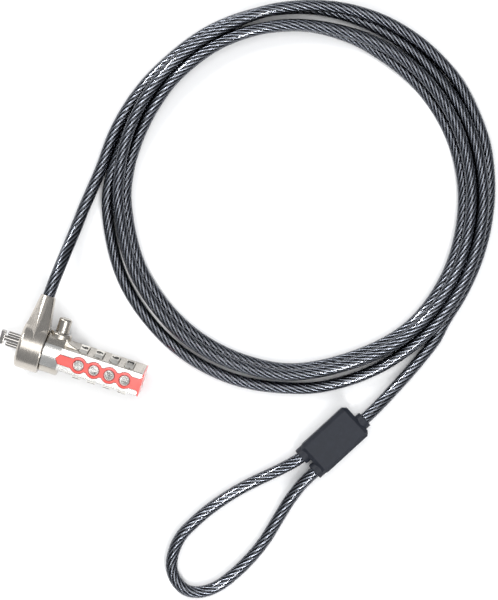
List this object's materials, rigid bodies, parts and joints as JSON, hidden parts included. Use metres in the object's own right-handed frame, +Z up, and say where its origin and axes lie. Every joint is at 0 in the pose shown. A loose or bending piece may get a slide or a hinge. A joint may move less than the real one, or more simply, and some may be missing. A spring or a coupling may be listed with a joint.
{
  "type": "laptop cable lock",
  "caption": "Push-button combination lock head for a laptop's security slot, with a swivel collar, a coiled steel cable in a clear smoke jacket and a crimped end loop.",
  "frame": {"origin": "under the middle of the lock head, on the surface that the cable lies on", "axes": "+X along the lock axis from the T-bar's tip to the rear end, +Y the way the cable leaves the collar, +Z up"},
  "size_m": [0.1862, 0.2604, 0.0204],
  "materials": {
    "satin_nickel": "satin nickel plate, brushed along its length",
    "bright_nickel": "bright nickel plate with a fine brush",
    "polished_steel": "polished plated steel",
    "spring_steel": "plain steel",
    "brass": "machined",
    "dial_silver": "plated, with filled dark digits",
    "coral_red": "smooth coral red",
    "black_washer": "matt black",
    "black_moulding": "fine matt grain",
    "aluminium": "pressed",
    "smoke_cable": "stranded steel under a clear smoke jacket"
  },
  "bodies": {
    "cable_end": {"swivel_collar": "satin_nickel", "cable_stop_crimp": "spring_steel", "swivel_washer": "black_washer", "cable_lead": "smoke_cable", "cable_coil": "smoke_cable", "cable_tail": "smoke_cable", "cable_loop": "smoke_cable", "loop_sleeve": "black_moulding", "loop_crimp": "aluminium"},
    "lock_body": {"lock_housing": "satin_nickel", "front_cover": "bright_nickel", "cover_dowel_1": "spring_steel", "cover_dowel_2": "spring_steel", "accent_strip": "coral_red", "end_cap": "satin_nickel", "end_cap_screw_front": "spring_steel", "end_cap_screw_back": "spring_steel", "nose_plate": "bright_nickel", "anchor_pin_upper": "polished_steel", "anchor_pin_lower": "polished_steel", "spindle_bush": "brass", "button_bush": "spring_steel", "detent_leaf": "spring_steel", "spring_bridge": "spring_steel", "button_spring": "spring_steel", "shaft_spring": "spring_steel"},
    "spindle": {"t_bar": "polished_steel", "t_bar_pinion": "spring_steel"},
    "button": {"push_button": "satin_nickel", "button_rack": "spring_steel"},
    "shaft": {"code_shaft": "spring_steel"},
    "dial_1": {"number_dial_1": "dial_silver", "code_sleeve_1": "brass"},
    "dial_2": {"number_dial_2": "dial_silver", "code_sleeve_2": "brass"},
    "dial_3": {"number_dial_3": "dial_silver", "code_sleeve_3": "brass"},
    "dial_4": {"number_dial_4": "dial_silver", "code_sleeve_4": "brass"},
    "reset": {"reset_screw": "spring_steel"}
  },
  "joints": [
    {"name": "collar_swivel", "type": "hinge", "parent": "cable_end", "child": "lock_body", "pos_m": [0, -0.006, 0.0102], "axis": [1, 0, 0], "continuous": true},
    {"name": "button_push", "type": "slide", "parent": "lock_body", "child": "button", "axis": [0, -0.9893, -0.1461], "range_m": [0, 0.00298], "stiffness_N_per_m": 300, "springref_m": -0.0015, "deforming": ["button_spring"]},
    {"name": "t_bar_turn", "type": "hinge", "parent": "lock_body", "child": "spindle", "pos_m": [0, -0.006, 0.0102], "axis": [-1, 0, 0], "range_deg": [0, 90]},
    {"name": "code_shaft_slide", "type": "slide", "parent": "lock_body", "child": "shaft", "axis": [1, 0, 0], "range_m": [0, 0.0013], "deforming": ["shaft_spring"]},
    {"name": "dial_1_turn", "type": "hinge", "parent": "lock_body", "child": "dial_1", "pos_m": [0, -0.006, 0.0102], "axis": [1, 0, 0], "continuous": true},
    {"name": "dial_2_turn", "type": "hinge", "parent": "lock_body", "child": "dial_2", "pos_m": [0, -0.006, 0.0102], "axis": [1, 0, 0], "continuous": true},
    {"name": "dial_3_turn", "type": "hinge", "parent": "lock_body", "child": "dial_3", "pos_m": [0, -0.006, 0.0102], "axis": [1, 0, 0], "continuous": true},
    {"name": "dial_4_turn", "type": "hinge", "parent": "lock_body", "child": "dial_4", "pos_m": [0, -0.006, 0.0102], "axis": [1, 0, 0], "continuous": true},
    {"name": "reset_turn", "type": "hinge", "parent": "lock_body", "child": "reset", "pos_m": [0, -0.006, 0.0102], "axis": [1, 0, 0], "range_deg": [0, 90]}
  ],
  "couplings": [
    {"joint": "t_bar_turn", "follows": "button_push", "rad_per_m": 526.32},
    {"joint": "code_shaft_slide", "follows": "button_push", "ratio": 0.43558}
  ]
}
